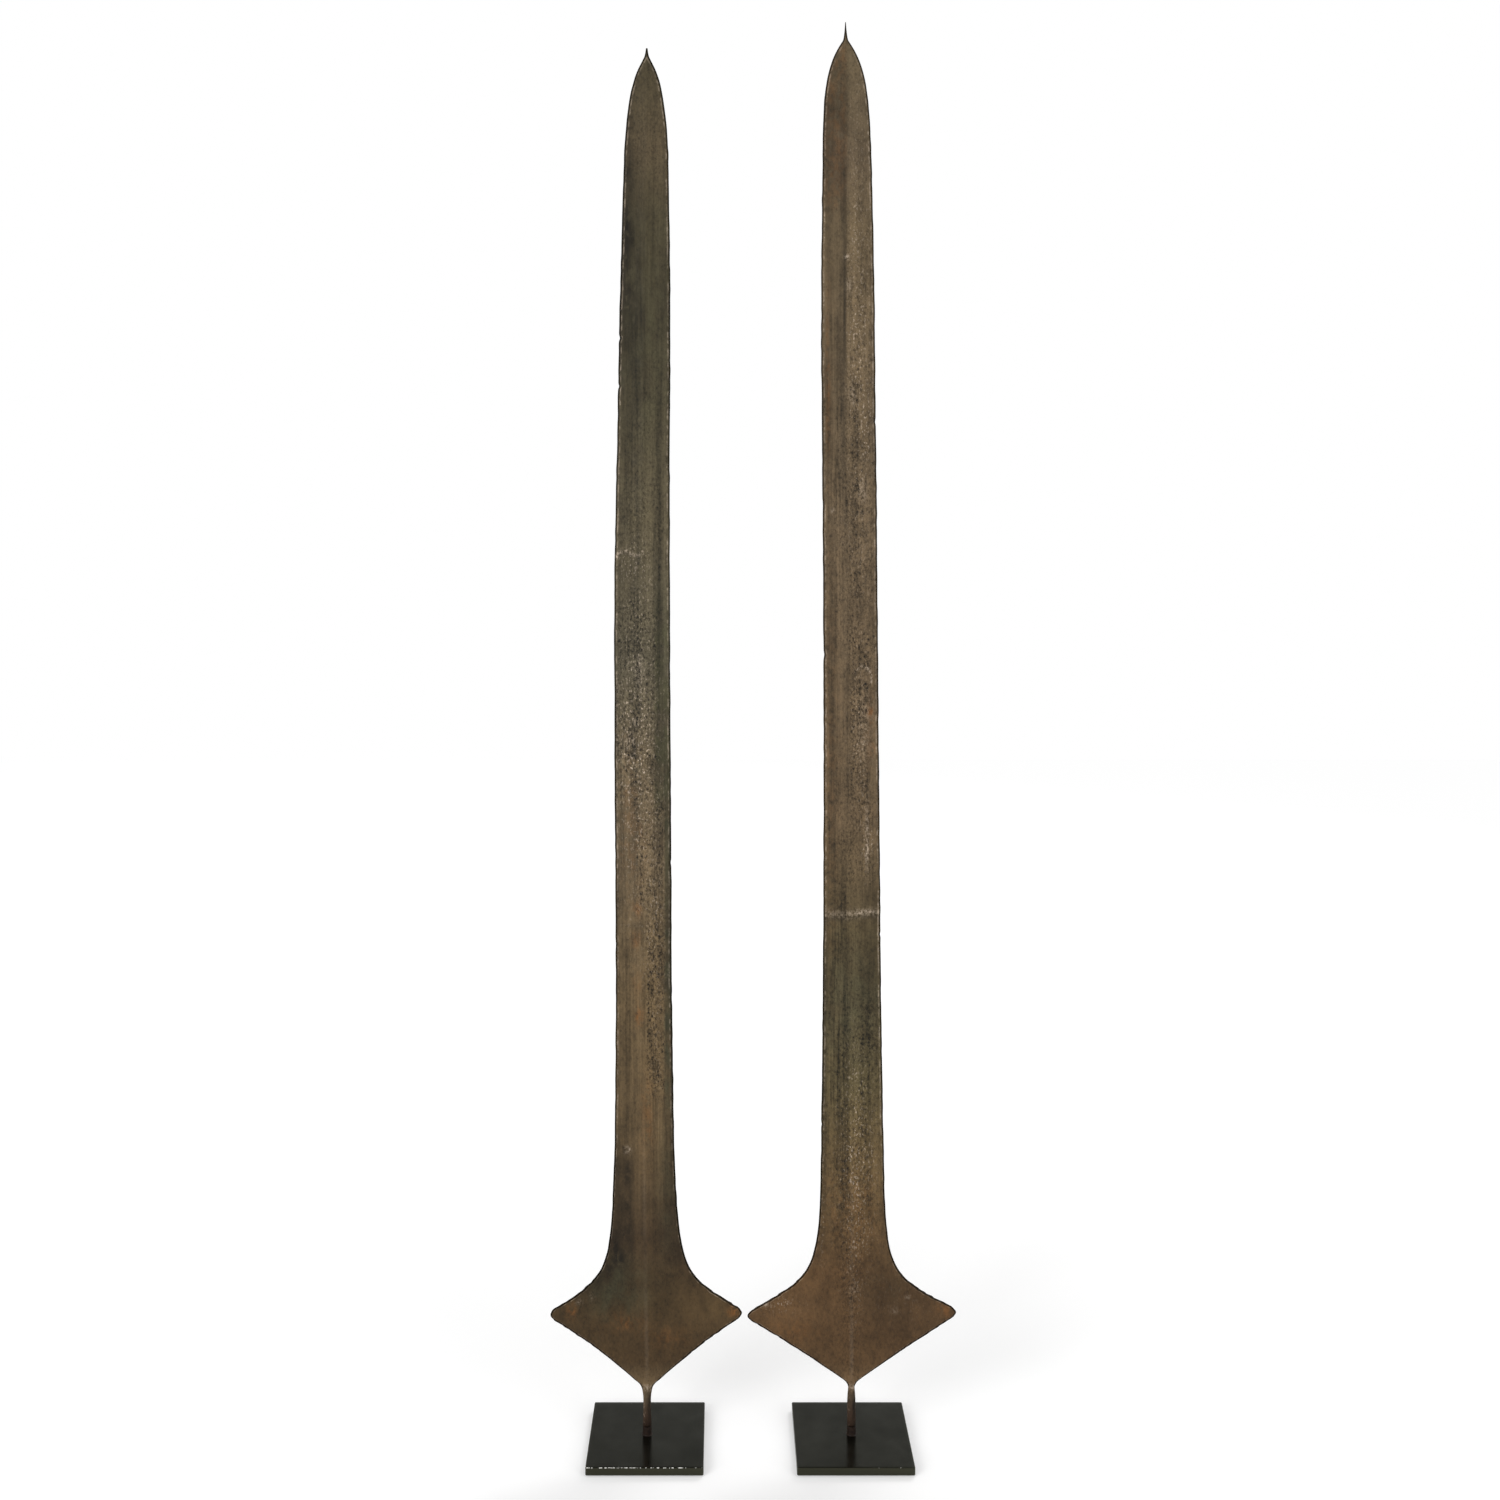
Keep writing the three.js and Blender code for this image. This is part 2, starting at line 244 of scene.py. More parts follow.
for side in SIDES:
    low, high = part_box(f"{side}_plate")
    centre = (low + high) / 2
    half = (high.x - low.x) / 2
    tube_low, tube_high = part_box(f"{side}_socket")
    hole = (tube_high.x - tube_low.x) / 2 + HOLE_FIT
    hole_floor = high.z - HOLE_DEPTH
    round_over = np.linspace(0, np.pi / 2, EDGE_STEPS)
    under = square_ring(half, PLATE_EDGE, low.z, centre)
    over = square_ring(half, PLATE_EDGE, high.z, centre)
    middle = drawn_in(under, UNDERSIDE_MIDDLE, low.z, centre)
    rim = drawn_in(over, hole, high.z, centre)
    rings = [middle + (under - middle) * share for share in np.linspace(0, 1, UNDERSIDE_RINGS)]
    rings += [
        square_ring(half, PLATE_EDGE * (1 - math.sin(a)), low.z + PLATE_EDGE * (1 - math.cos(a)), centre)
        for a in round_over[1:]
    ]
    rings += [
        square_ring(half, PLATE_EDGE * (1 - math.cos(a)), high.z - PLATE_EDGE * (1 - math.sin(a)), centre)
        for a in round_over
    ]
    rings += [over + (rim - over) * share for share in np.linspace(0, 1, TOP_RINGS)[1:]]
    wall = hole - HOLE_EASE / 2
    rings += [drawn_in(over, wall, z, centre) for z in (high.z - HOLE_EASE, hole_floor)]
    rings.append(drawn_in(over, hole / 2, hole_floor, centre))
    rings = np.stack(rings)
    slab = closed_skin(f"{side}_base_plate", rings, paint)
    off_side = half - np.abs(rings[..., :2] - np.array(centre[:2])).max(-1)
    off_top = high.z - rings[..., 2]
    wear_and_glint = np.exp(-((off_side / RUBBED_REACH) ** 2) - (off_top / RUBBED_REACH) ** 2)
    front_edge = rings[..., 1] < low.y + FRONT_BAND
    wear_and_glint = (wear_and_glint * np.where(front_edge, FRONT_WEAR_AND_GLINT[side], OTHER_WEAR_AND_GLINT)).ravel()
    edge_wear_and_glint = slab.data.attributes.new("edge_wear_and_glint", "FLOAT", "POINT")
    edge_wear_and_glint.data.foreach_set("value", np.append(wear_and_glint, [0, 0]).astype(np.float32))
    slab.data.set_sharp_from_angle(angle=SHARP_ANGLE)
    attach(slab, "stands")
    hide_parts(f"{side}_plate")

# Sockets
# Two short lengths of steel tube, turned outside and broached square inside, glued into the plate's hole
# and painted over. The paint has gathered in a small fillet where tube and plate meet.
BORE_HALF = 3.11 * MM
BORE_EASE = 0.15 * MM
BORE_FLOOR = 1 * MM
BORE_RINGS = 8
TUBE_EASE = 0.2 * MM
SOCKET_CHAMFER = 0.6 * MM
PAINT_FILLET = 1.2 * MM
PAINT_FILM = 0.01 * MM
SOCKET_STEPS = 96
THIN_PATCH = 3 * MM
SOCKET_DARK = "#160d08"
SOCKET_BROWN = "#2c1d14"


def square_bore(half, height, centre):
    """A level ring whose radius at each angle is half over the larger of its cosine and sine, a square."""
    angle = np.linspace(0, 2 * np.pi, SOCKET_STEPS, endpoint=False)
    radius = half / np.maximum(np.abs(np.cos(angle)), np.abs(np.sin(angle)))
    x = centre[0] + radius * np.cos(angle)
    y = centre[1] + radius * np.sin(angle)
    return np.stack([x, y, np.full(SOCKET_STEPS, height)], -1)


# Painted steel that has been handled: brownish black, satin, and browner where the paint has thinned.
tube_paint, tree, shader = start_material("socket_paint", Specular_IOR_Level=0.2)
place = node(tree, "ShaderNodeTexCoord").outputs["Object"]
thin = node(
    tree, "ShaderNodeTexNoise", {"Vector": place, "Scale": 1 / THIN_PATCH, "Detail": 5, "Roughness": 0.65}
).outputs["Fac"]
brown = node(tree, "ShaderNodeValToRGB", {"Fac": thin}, [(0.4, SOCKET_DARK), (0.72, SOCKET_BROWN)])
tree.links.new(brown.outputs["Color"], shader.inputs["Base Color"])
gloss = {"Value": thin, "From Min": 0.3, "From Max": 0.7, "To Min": 0.5, "To Max": 0.75}
gloss = node(tree, "ShaderNodeMapRange", gloss)
tree.links.new(gloss.outputs["Result"], shader.inputs["Roughness"])
tool_marks = node(tree, "ShaderNodeBump", {"Height": thin, "Strength": 0.3, "Distance": 0.15 * MM})
tree.links.new(tool_marks.outputs["Normal"], shader.inputs["Normal"])

for side in SIDES:
    low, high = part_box(f"{side}_socket")
    centre = (low + high) / 2
    radius = (high.x - low.x) / 2
    plate_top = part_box(f"{side}_plate")[1].z
    turn = np.linspace(0, np.pi / 2, EDGE_STEPS)
    reach = [radius / 2, radius - TUBE_EASE, radius, radius]
    level = [low.z, low.z, low.z + TUBE_EASE, plate_top - TUBE_EASE]
    reach += list(radius + PAINT_FILLET * (1 - np.sin(turn)))
    level += list(plate_top + PAINT_FILLET * (1 - np.cos(turn)) + PAINT_FILM)
    reach += list(radius - SOCKET_CHAMFER * (1 - np.cos(turn)))
    level += list(high.z - SOCKET_CHAMFER * (1 - np.sin(turn)))
    rings = [circle(r, z, SOCKET_STEPS, centre) for r, z in zip(reach, level)]
    bore_floor = low.z + BORE_FLOOR
    rings.append(square_bore(BORE_HALF + BORE_EASE, high.z, centre))
    rings += [
        square_bore(BORE_HALF, z, centre) for z in np.linspace(high.z - BORE_EASE, bore_floor, BORE_RINGS)
    ]
    rings.append(square_bore(BORE_HALF / 2, bore_floor, centre))
    tube = closed_skin(f"{side}_square_socket", np.stack(rings), tube_paint)
    tube.data.set_sharp_from_angle(angle=SHARP_ANGLE)
    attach(tube, "stands")
    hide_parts(f"{side}_socket")

# Blades
# Two spear blades, each forged from one bar of bloomery iron: drawn out, hammered flat on both faces along
# a low rib, spread into two ears, and bevelled by file at the edge. The squared foot stands in the socket.
BLADES = {
    "left": {
        "tang_width": 10.8, "tang_run": 31.5, "tang_waist_width": 9.3,
        "neck_run": 12.5, "neck_width": 12.1,
        "fillet_run": 11.5, "fillet_width": 29.6,
        "ear_run": 81.3, "ear_span": 244, "ear_tip_rounding": 9, "ear_tip_run": 7.8,
        "ear_tilt": 2.4, "ear_undercut": 9,
        "flare_run": 203, "flare_corner_run": 50, "flare_corner_width": 85.5,
        "blade_run": 1223, "blade_widths": [73.2, 69.3, 68.8, 68.6, 68, 64.6, 61.6, 54.1],
        "shoulder_run": 112, "shoulder_lower_handle": (22, 25), "shoulder_upper_handle": (11, 14.5),
        "nib_width": 8.4, "nib_run": 13, "nib_point_width": 2,
        "bow": [0, -2.8, -3.7, -4.6, -5.8, -6, -3.6, -1.7, -0.5],
        "crest": [0, 0, -1, -2, 0, 0, 0, 0, 0],
    },
    "right": {
        "tang_width": 10.4, "tang_run": 30, "tang_waist_width": 10.2,
        "neck_run": 17.5, "neck_width": 7.8,
        "fillet_run": 8.5, "fillet_width": 19,
        "ear_run": 80.4, "ear_span": 269, "ear_tip_rounding": 13, "ear_tip_run": 8.5,
        "ear_tilt": 4.9, "ear_undercut": 3.5,
        "flare_run": 203.5, "flare_corner_run": 52, "flare_corner_width": 82.5,
        "blade_run": 1223, "blade_widths": [77, 72.2, 69.3, 67.4, 66.8, 66.4, 65.5, 59.8],
        "shoulder_run": 134, "shoulder_lower_handle": (28, 50), "shoulder_upper_handle": (21.8, 26.6),
        "nib_width": 7.2, "nib_run": 23, "nib_point_width": 0.9,
        "bow": [0, 1.3, 0.9, 0.4, -0.4, -1.7, -3.7, -5, -7.1],
        "crest": [0, -1, -1, -1, -2, -4, -4, -3, 0],
    },
}
FOOT_HEIGHT = -7.2
RIM_HEIGHT = 10.3
FOOT_SIDE = 5.62
EDGE_BEVEL = 3.5
RIB_HALF_WIDTH = 15
OUTLINE_ROWS = 925
FOOT_ROWS = 6
LINE_STEPS = 400


def spline(points, steps):
    """A curve through the points: between two of them, the cubic whose slope at each is half the step
    from the point before it to the point after it."""
    points = np.asarray(points, float)
    padded = np.concatenate([points[:1], points, points[-1:]])
    along = np.linspace(0, len(points) - 1, steps)
    i = np.minimum(along.astype(int), len(points) - 2)
    t = (along - i).reshape(-1, *[1] * (points.ndim - 1))
    before, start, end, after = (padded[i + k] for k in range(4))
    leave, arrive = (end - before) / 2, (after - start) / 2
    cube = 2 * start - 2 * end + leave + arrive
    square = 3 * end - 3 * start - 2 * leave - arrive
    return ((cube * t + square) * t + leave) * t + start


def bezier(handles, steps):
    """A Bezier curve: each pair of neighbouring handles is mixed by the share t until one is left."""
    t = np.linspace(0, 1, steps)[:, None]
    level = [np.asarray(handle, float)[None] for handle in handles]
    while len(level) > 1:
        level = [a + (b - a) * t for a, b in zip(level, level[1:])]
    return level[0]


def smooth(share):
    """0 below 0, 1 above 1, and 3 s squared less 2 s cubed between."""
    s = np.clip(share, 0, 1)
    return s * s * (3 - 2 * s)


def uneven(x, z, cell_x, cell_z, seed):
    """A smooth random field from -1 to 1: random values on a lattice of cell_x by cell_z, in mm, each
    mixed into its neighbours by the smooth share of the way."""
    lattice = np.random.default_rng(seed).uniform(-1, 1, (257, 1025))
    u, v = x / cell_x + 128.5, z / cell_z + 9.5
    i, j = np.floor(u).astype(int) % 256, np.floor(v).astype(int) % 1024
    s, t = smooth(u - np.floor(u)), smooth(v - np.floor(v))
    low = lattice[i, j] * (1 - s) + lattice[i + 1, j] * s
    high = lattice[i, j + 1] * (1 - s) + lattice[i + 1, j + 1] * s
    return low * (1 - t) + high * t


def landmarks(blade):
    """Heights above the plate in mm, each the last one plus its own run."""
    runs = ("tang", "neck", "fillet", "ear", "flare", "blade", "shoulder", "nib")
    names = ("tang_waist", "neck", "fillet", "ear", "waist", "shoulder", "nib", "point")
    return dict(zip(names, RIM_HEIGHT + np.cumsum([blade[f"{run}_run"] for run in runs])))


def edge_line(blade, at):
    """Half widths and heights of one edge in mm: splines along tang and blade, Bezier curves elsewhere."""
    neck = (blade["neck_width"] / 2, at["neck"])
    fillet_corner = (blade["neck_width"] / 2 + 1, at["neck"] + 0.6 * blade["fillet_run"])
    fillet = (blade["fillet_width"] / 2, at["fillet"])
    ear_half = blade["ear_span"] / 2
    tip_half = ear_half - blade["ear_tip_rounding"]
    ear_below = (tip_half, at["ear"] - blade["ear_tip_run"])
    ear_above = (tip_half, at["ear"] + blade["ear_tip_run"])
    underside = (np.add(fillet, ear_below) / 2) - (blade["ear_undercut"], 0)
    flare_corner = (blade["flare_corner_width"] / 2, at["ear"] + blade["flare_corner_run"])
    heights = np.linspace(at["waist"], at["shoulder"], len(blade["blade_widths"]))
    long_edge = np.column_stack([np.array(blade["blade_widths"]) / 2, heights])
    nib = (blade["nib_width"] / 2, at["nib"])
    lower, upper = blade["shoulder_lower_handle"], blade["shoulder_upper_handle"]
    shoulder_handles = [(out, at["nib"] - down) for out, down in (lower, upper)]
    tang = [(blade["tang_width"] / 2, RIM_HEIGHT), (blade["tang_waist_width"] / 2, at["tang_waist"]), neck]
    nib_bend = (blade["nib_width"] / 4, at["nib"] + blade["nib_width"] / 3)
    line = np.concatenate([
        spline(tang, 60),
        bezier([neck, fillet_corner, fillet], 30),
        bezier([fillet, underside, ear_below], 100),
        bezier([ear_below, (ear_half, at["ear"]), ear_above], 60),
        bezier([ear_above, flare_corner, flare_corner, long_edge[0]], 200),
        spline(long_edge, 600),
        bezier([long_edge[-1], *shoulder_handles, nib], 120),
        bezier([nib, nib_bend, (blade["nib_point_width"] / 2, at["point"])], 40),
    ])
    return line[:, 0], line[:, 1]


# Thickness in mm at rib, web, land and edge, at these levels: socket's rim, tang's waist, neck, half way
# from neck to ears, ears, waist, half way from waist to shoulder, shoulder, nib and point.
THICKNESS = {
    "rib": [8.4, 8.4, 7.6, 7, 7, 6.6, 6, 4.6, 3.2, 1.2],
    "web": [8.4, 8.4, 7.6, 2.8, 2.8, 2.8, 2.8, 2.8, 2.8, 1.2],
    "land": [8.4, 8.4, 7.6, 2.4, 2.4, 2.4, 2.4, 2.4, 2.4, 1.2],
    "edge": [6.4, 6.4, 3.8, 1, 1, 1, 1, 1, 1, 1],
}


def thicknesses(height, at):
    """Thickness in mm at rib, web, land and edge: straight lines between the levels of the forging."""
    levels = [
        RIM_HEIGHT, at["tang_waist"], at["neck"], (at["neck"] + at["ear"]) / 2, at["ear"], at["waist"],
        (at["waist"] + at["shoulder"]) / 2, at["shoulder"], at["nib"], at["point"],
    ]
    return [np.interp(height, levels, line) for line in THICKNESS.values()]


# What the years and the forge have left on each face, as soft blotches and as facets with sharper bounds,
# and some painted light and shade, noted where it stands: across from the tang's axis, height above the
# plate, reach across, reach along, all in mm, and strength.
BLOTCHES = {
    "left": {
        "pitting": [(-8, 1120, 30, 90, 0.4), (0, 1590, 26, 60, 0.25), (4, 1250, 20, 60, 0.2)],
        "speckled_glints": [
            (-12, 860, 24, 170, 1.0), (10, 600, 12, 150, 0.45), (-20, 1070, 18, 18, 0.7),
            # Painted light on the tang's left side.
            (-3.5, 34, 2, 18, 0.8),
        ],
        "striated": [(-28, 870, 6, 150, 1.0), (14, 380, 18, 90, 0.6), (0, 1430, 30, 120, 0.1)],
        "worn_and_lit": [
            (-3, 650, 13, 290, 0.33), (-8, 560, 5, 110, 0.2), (16, 1560, 16, 45, 0.5),
            (-8, 750, 15, 80, 0.43), (-18, 560, 16, 110, 0.35), (78, 152, 36, 26, 1.35),
            (-6, 872, 8, 16, 0.3), (-4, 1330, 10, 140, 0.2), (4, 1190, 14, 50, 0.2),
            # The first of these is painted light on the tang's left side.
            (-4, 36, 1.8, 18, 0.9), (21, 790, 7, 70, 0.25),
        ],
        "olive": [(0, 1340, 40, 170, 0.5), (-40, 178, 36, 32, 1.0), (26, 300, 12, 70, 0.5)],
        "rust": [
            (-12, 645, 5, 8, 0.7), (-13, 606, 5, 9, 0.9), (-10, 512, 5, 12, 0.8), (-11, 551, 6, 14, 0.4),
            (0, 390, 7, 42, 0.4), (-92, 150, 5, 9, 0.9), (107, 152, 7, 7, 0.9), (-30, 137, 24, 11, 0.45),
            (28, 118, 22, 12, 0.3), (-18, 750, 18, 90, 0.2),
        ],
        "pale": [
            (-38, 1076, 3, 3, 1), (-24, 348, 4, 4, 0.8), (0, 58, 6, 3.5, 0.9), (-9, 936, 5, 14, 0.3),
            (-83, 162, 2.5, 3, 0.35), (-68, 168, 2, 5, 0.25), (-22, 846, 9, 8, 0.25),
            (-14, 872, 4, 6, 0.3),
        ],
        "dark": [
            (-23, 1420, 18, 120, 0.55), (-24, 1540, 10, 85, 0.35), (0, 1270, 26, 8, 0.12),
            # The third of these is painted shade on the tang's right side.
            (-46, 190, 30, 34, 0.35), (-66, 186, 18, 16, 0.3), (3, 34, 3, 16, 0.6), (0, 10, 9, 5, 0.5),
            (23, 520, 11, 100, 0.5), (20, 610, 9, 60, 0.2), (-24, 440, 9, 50, 0.15),
            (-24, 940, 9, 60, 0.18), (17, 101, 8, 6, 0.35), (-31, 1180, 9, 420, 0.2),
            (5, 780, 8, 120, 0.2),
        ],
        "crest_worn": [(0, 115, 999, 50, 0.22), (0, 290, 999, 90, 0.1)],
        # Painted shade along the crest.
        "crest_shade": [(0, 1600, 999, 60, 0.2)],
    },
    "right": {
        "pitting": [
            (8, 1240, 16, 260, 0.5), (0, 1100, 30, 140, 0.35), (-10, 720, 24, 120, 0.35),
            (0, 500, 34, 110, 0.5), (4, 330, 26, 110, 0.7), (-2, 170, 12, 90, 0.35),
        ],
        "speckled_glints": [
            (5, 340, 20, 110, 0.8), (4, 200, 8, 70, 0.2), (8, 1300, 15, 300, 0.5),
            (10, 850, 11, 75, 0.55), (19, 725, 8, 40, 0.6), (-36, 340, 3, 100, 0.8),
            (-33, 431, 2, 2, 1.0), (20, 1230, 8, 30, 0.6), (60, 165, 50, 34, 0.1),
            # The last of these is painted light on the tang's left side.
            (-90, 160, 26, 10, 0.35), (-3.5, 32, 1.5, 18, 0.7),
        ],
        "striated": [(-18, 489, 12, 150, 0.5), (24, 700, 8, 70, 0.5), (-20, 1200, 12, 200, 0.3)],
        "worn_and_lit": [
            (-30, 820, 6, 260, 0.2), (24, 730, 10, 70, 0.1), (21, 385, 14, 75, 0.55),
            (-84, 138, 44, 30, 0.75), (0, 622, 40, 12, 0.2), (-52, 182, 34, 34, 0.6),
            (-2, 940, 9, 110, 0.3), (-6, 1100, 14, 120, 0.18), (-35, 135, 24, 20, 0.22),
            (8, 995, 8, 50, 0.3), (-27, 845, 8, 40, 0.35), (26, 845, 8, 40, 0.3), (30, 470, 8, 45, 0.35),
            (28, 330, 8, 45, 0.2),
        ],
        "olive": [(0, 530, 45, 90, 0.5), (40, 190, 34, 34, 0.2)],
        "rust": [
            (-29, 1291, 3, 98, 0.5), (24, 884, 4, 5, 0.9), (27, 838, 3, 8, 0.5), (-70, 128, 28, 14, 0.3),
            (-26, 800, 9, 220, 0.15), (0, 280, 40, 50, 0.2), (23, 875, 5, 42, 0.3), (117, 153, 9, 8, 0.9),
        ],
        "pale": [
            (19, 727, 1.6, 30, 0.9), (17, 868, 9, 40, 0.12), (-107, 160, 6, 3, 0.9),
            (0, 59, 4.5, 3.5, 0.9), (2, 177, 6, 5, 0.15), (53, 152, 3, 4, 0.4), (69, 168, 2, 3, 0.35),
            (-6, 1442, 2.5, 3, 0.9), (-3, 1407, 4, 9, 0.35), (1, 1273, 5, 11, 0.25),
            (14, 1154, 5, 12, 0.25), (-23, 1132, 2, 3, 0.5),
        ],
        "dark": [
            # The second of these is painted shade on the tang's right side.
            (0, 560, 40, 60, 0.1), (3, 36, 2.5, 16, 0.7), (0, 10, 9, 5, 0.5), (12, 800, 10, 22, 0.3),
            (-12, 385, 7, 60, 0.3), (22, 657, 12, 14, 0.25), (60, 148, 42, 26, 0.25),
            (40, 180, 30, 20, 0.2), (22, 1630, 14, 14, 0.2), (6, 720, 8, 80, 0.2), (-8, 780, 9, 20, 0.16),
            (4, 1618, 30, 30, 0.15),
        ],
        "crest_worn": [(0, 105, 999, 50, 0.3), (0, 250, 999, 90, 0.15)],
        # Painted shade along the crest.
        "crest_shade": [(0, 1400, 999, 210, 0.6), (0, 1385, 999, 75, 0.6)],
    },
}
FACETS = {
    "left": {
        "pitting": [(-13, 900, 25, 125, 0.9), (4, 715, 17, 75, 0.8), (11, 530, 11.5, 115, 1.0)],
        # Painted light on the middle of the flare, whose two sides get painted shade below.
        "worn_and_lit": [(-3, 280, 11, 160, 0.45)],
        "olive": [(23, 900, 14, 140, 1.0), (29, 650, 8, 250, 1.0)],
        # Painted shade on the two sides of the flare.
        "dark": [(-34, 270, 17, 72, 0.55), (34, 268, 14, 60, 0.25)],
    },
    "right": {
        "pitting": [
            (9, 850, 11, 78, 0.95), (13, 960, 18, 26, 0.5), (13, 735, 18, 60, 0.35),
            (22, 480, 12, 50, 0.4),
        ],
        "striated": [(-18, 510, 11, 110, 0.9)],
        # The first of these is painted light on the face right of the rib, near the point.
        "worn_and_lit": [(16, 1500, 24, 225, 0.7), (-2.5, 850, 1.5, 140, 0.45)],
        "rust": [(-24, 1610, 18, 110, 0.28)],
        # Painted shade on the face left of the rib, near the point.
        "dark": [(-24, 1600, 18, 100, 0.25), (-24, 1340, 17, 180, 0.15)],
    },
}


def marked(side, kind, x, z):
    """How strongly one kind of mark shows: the sum over its spots of strength times e to the power of minus
    the distances in reaches, squared for a soft blotch and to the tenth for a facet."""
    field = np.zeros_like(x)
    for spots, power in ((BLOTCHES[side][kind], 2), (FACETS[side].get(kind, ()), 10)):
        for at_x, at_z, reach_x, reach_z, strength in spots:
            across, along = np.abs((x - at_x) / reach_x), np.abs((z - at_z) / reach_z)
            field += strength * np.exp(-(across**power) - along**power)
    return field


# Hammer dents of two sizes and drawn-out grooves of two widths: height, cell across and cell along in mm.
DENTS = [(0.22, 15, 24), (0.3, 34, 70), (0.06, 3.2, 70), (0.05, 6.5, 150)]
PIT_DEPTH = 0.3
PIT_CELL = (3.6, 5.5)


def relief(side, x, z, seed):
    """How far one face stands proud, in mm: hammer dents of two sizes, grooves drawn out along the bar,
    and pits where it has corroded, each a random field of its own cell."""
    pitting = np.minimum(marked(side, "pitting", x, z), 1)
    proud = -PIT_DEPTH * pitting * smooth(1.6 * uneven(x, z, *PIT_CELL, seed + len(DENTS)) - 0.3)
    for i, (rise, across, along) in enumerate(DENTS):
        proud = proud + rise * uneven(x, z, across, along, seed + i)
    return proud


def hump(distance, reach):
    """1 at no distance, and otherwise e to the power of minus the square of the distance in reaches."""
    return np.exp(-((distance / reach) ** 2))


SEAM_HEIGHT = 638
SEAM_STEP = 0.5
SEAM_FADE = 70
SCAR_PLACE = (13, 927)
SCAR_HALF = (11.5, 13)
SCAR_RIDGE = 0.3
SCAR_DISH = 0.35
STREAK_PLACE = (19, 725)
STREAK_RIDGE = 0.3
CRACK_HEIGHT = 1075
CRACK_ENDS = (-40, -3)
CRACK_DEPTH = 0.3
CRACK_LIP = 0.1


def seam_and_scar(x, z):
    """The right front's own marks, as height in mm, paleness and darkness. The weld seam is a step up that
    fades over the iron above it, the scar is a raised ring round a dish, and the streak is a thin ridge.
    The paleness is painted highlight on the seam's lip and the ring's lit upper right, and the darkness is
    painted shadow below the step and on the ring's lower left."""
    above = z - SEAM_HEIGHT - 3 * uneven(x, z, 18, 400, 71)
    step = SEAM_STEP * smooth(above / 3) * smooth(1 - above / SEAM_FADE)
    lip = 0.4 * hump(above - 1, 2) * smooth((x - 3) / 5) + 0.28 * hump(above, 5)
    shadow = 0.35 * hump(above + 5, 3)
    ragged = 1 + 0.16 * uneven(x, z, 5, 8, 73)
    turn = np.hypot((x - SCAR_PLACE[0]) / SCAR_HALF[0], (z - SCAR_PLACE[1]) / SCAR_HALF[1]) * ragged
    ring = hump(turn - 1, 0.12)
    lit_side = smooth((x - 10) / 12 + (z - 924) / 10)
    scar = SCAR_RIDGE * ring - SCAR_DISH * smooth((1.2 - turn) / 0.3)
    streak = STREAK_RIDGE * hump(x - STREAK_PLACE[0], 1.6) * hump(z - STREAK_PLACE[1], 26)
    return step + scar + streak, lip + 0.6 * ring * lit_side, shadow + 0.55 * ring * (1 - lit_side)


def crack(x, z):
    """The left front's own mark, as height in mm, paleness and darkness: a crooked groove across the blade,
    from its left edge to near its rib, with a bright lip above it. The paleness is a painted highlight on
    that lip and the darkness is painted shade in the groove."""
    above = z - CRACK_HEIGHT - 5 * uneven(x, z, 11, 400, 72) - 2 * uneven(x, z, 4, 400, 74)
    reach = smooth((x - CRACK_ENDS[0]) / 4) * smooth((CRACK_ENDS[1] - x) / 8)
    groove = reach * hump(above, 1.8)
    lip = reach * hump(above - 2.6, 2)
    return CRACK_LIP * lip - CRACK_DEPTH * groove, 0.65 * lip, 0.3 * groove


FRONT_MARKS = {"left": crack, "right": seam_and_scar}
MOST_STRETCH = 4


def rows_up(blade, at):
    """Height and half width of each row in mm, the edge's stretch there, and whether it is in the foot.

    Rows lie at even lengths along the edge line. Stretch is the line's length over its rise, by which a
    level distance from the edge is longer than one square to it. It is cut off where the edge lies flat."""
    line_half, line_height = edge_line(blade, at)
    length = np.append(0, np.cumsum(np.hypot(np.diff(line_half), np.diff(line_height))))
    height = np.interp(np.linspace(0, length[-1], OUTLINE_ROWS), length, line_height)
    half = np.interp(height, line_height, line_half)
    never_equal = 1e-6 * np.arange(OUTLINE_ROWS)
    slope = np.gradient(half, height + never_equal)
    stretch = np.clip(np.hypot(1, slope), 1, MOST_STRETCH)
    height = np.append(np.linspace(FOOT_HEIGHT, RIM_HEIGHT, FOOT_ROWS), height)
    half = np.append(np.full(FOOT_ROWS, FOOT_SIDE / 2), half)
    stretch = np.append(np.ones(FOOT_ROWS), stretch)
    in_foot = np.arange(FOOT_ROWS + OUTLINE_ROWS) < FOOT_ROWS
    return (row[:, None] for row in (height, half, stretch, in_foot))


EDGE_WANDER = 0.35
WANDER_CELLS = (11, 34)
EAR_CHIPS = 0.7
CHIP_CELL = 2.6
# Nicks: left edge -1 or right edge 1, height above the plate, reach along the edge and depth, in mm.
NICKS = {
    "left": [(-1, 1343, 3, 1.3), (-1, 1284, 2.5, 1.2), (1, 700, 3, 0.8)],
    "right": [(-1, 955, 4, 0.9), (1, 1240, 3, 0.8), (1, 612, 2.5, 0.9), (-1, 380, 3, 0.8)],
}


